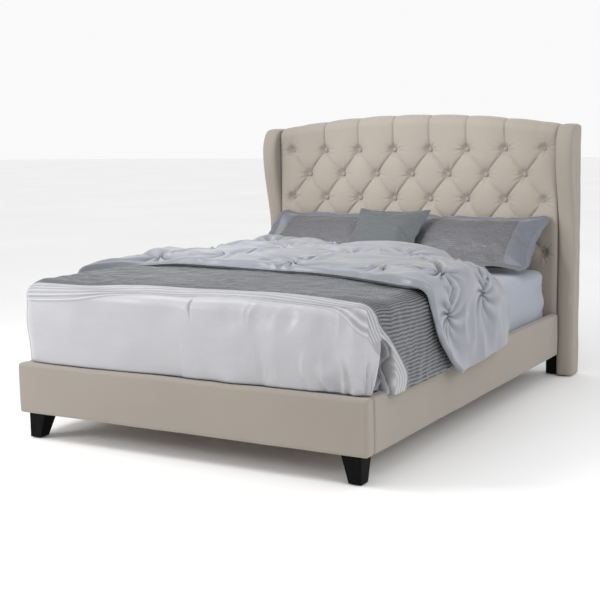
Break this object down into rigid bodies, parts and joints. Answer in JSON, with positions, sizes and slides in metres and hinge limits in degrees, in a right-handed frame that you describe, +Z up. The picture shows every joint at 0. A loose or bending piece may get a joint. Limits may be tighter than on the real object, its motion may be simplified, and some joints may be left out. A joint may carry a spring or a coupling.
{
  "type": "upholstered wingback bed",
  "caption": "Upholstered wingback bed with buttoned arched headboard, padded rails and footboard, slats, mattress and bedding.",
  "frame": {"origin": "on the floor, under the middle of the bed's length and width", "axes": "+X to the right seen from the foot, +Y from foot to head, +Z up"},
  "size_m": [1.768, 2.245, 1.325],
  "materials": {
    "timber": "matte",
    "plywood": "matte",
    "slat_wood": "matte",
    "foam": "matte",
    "linen": "matte",
    "twine": "matte",
    "black_lining": "matte",
    "black_wood": "satin",
    "bracket_steel": "satin",
    "bolt_steel": "satin",
    "black_plastic": "matte",
    "fitted_sheet": "matte",
    "satin_comforter": "satin",
    "satin_quilt": "satin",
    "sham_cloth": "satin",
    "cushion_cloth": "matte"
  },
  "bodies": {
    "bed_frame": {"headboard_left_post": "timber", "headboard_right_post": "timber", "headboard_top_rail": "timber", "headboard_middle_rail": "timber", "headboard_bottom_rail": "timber", "headboard_centre_stile": "timber", "headboard_board": "plywood", "headboard_foam": "foam", "headboard_cover": "linen", "headboard_back_cloth": "black_lining", "tufting_buttons": "linen", "button_ties": "twine", "left_wing_core": "timber", "right_wing_core": "timber", "left_wing_foam": "foam", "right_wing_foam": "foam", "left_wing_cover": "linen", "right_wing_cover": "linen", "headboard_left_leg": "black_wood", "headboard_right_leg": "black_wood", "footboard_board": "timber", "footboard_cover": "linen", "front_left_leg": "black_wood", "front_right_leg": "black_wood", "left_rail_board": "timber", "right_rail_board": "timber", "left_rail_cover": "linen", "right_rail_cover": "linen", "left_slat_ledge": "timber", "right_slat_ledge": "timber", "corner_brackets": "bracket_steel", "frame_bolts": "bolt_steel", "centre_beam": "timber", "beam_hangers": "bracket_steel", "centre_leg_01": "timber", "centre_leg_02": "timber", "centre_leg_03": "timber", "levelling_feet": "black_plastic", "glides": "black_plastic", "slat_01": "slat_wood", "slat_02": "slat_wood", "slat_03": "slat_wood", "slat_04": "slat_wood", "slat_05": "slat_wood", "slat_06": "slat_wood", "slat_07": "slat_wood", "slat_08": "slat_wood", "slat_09": "slat_wood", "slat_10": "slat_wood", "slat_11": "slat_wood", "slat_12": "slat_wood", "slat_straps": "black_lining"},
    "mattress_body": {"mattress": "fitted_sheet"},
    "comforter_body": {"comforter": "satin_comforter"},
    "quilt_body": {"quilt": "satin_quilt"},
    "left_sham_body": {"left_sham": "sham_cloth"},
    "right_sham_body": {"right_sham": "sham_cloth"},
    "cushion_body": {"cushion": "cushion_cloth"}
  },
  "joints": [
    {"name": "mattress_lift", "type": "slide", "parent": "bed_frame", "child": "mattress_body", "axis": [0, 0, 1], "range_m": [0, 0.35]},
    {"name": "comforter_lift", "type": "slide", "parent": "mattress_body", "child": "comforter_body", "axis": [0, 0, 1], "range_m": [0, 0.3]},
    {"name": "quilt_lift", "type": "slide", "parent": "comforter_body", "child": "quilt_body", "axis": [0, 0, 1], "range_m": [0, 0.3]},
    {"name": "left_sham_lift", "type": "slide", "parent": "mattress_body", "child": "left_sham_body", "axis": [0, 0, 1], "range_m": [0, 0.3]},
    {"name": "right_sham_lift", "type": "slide", "parent": "left_sham_body", "child": "right_sham_body", "axis": [0, 0, 1], "range_m": [0, 0.3]},
    {"name": "cushion_lift", "type": "slide", "parent": "right_sham_body", "child": "cushion_body", "axis": [0, 0, 1], "range_m": [0, 0.3]}
  ]
}
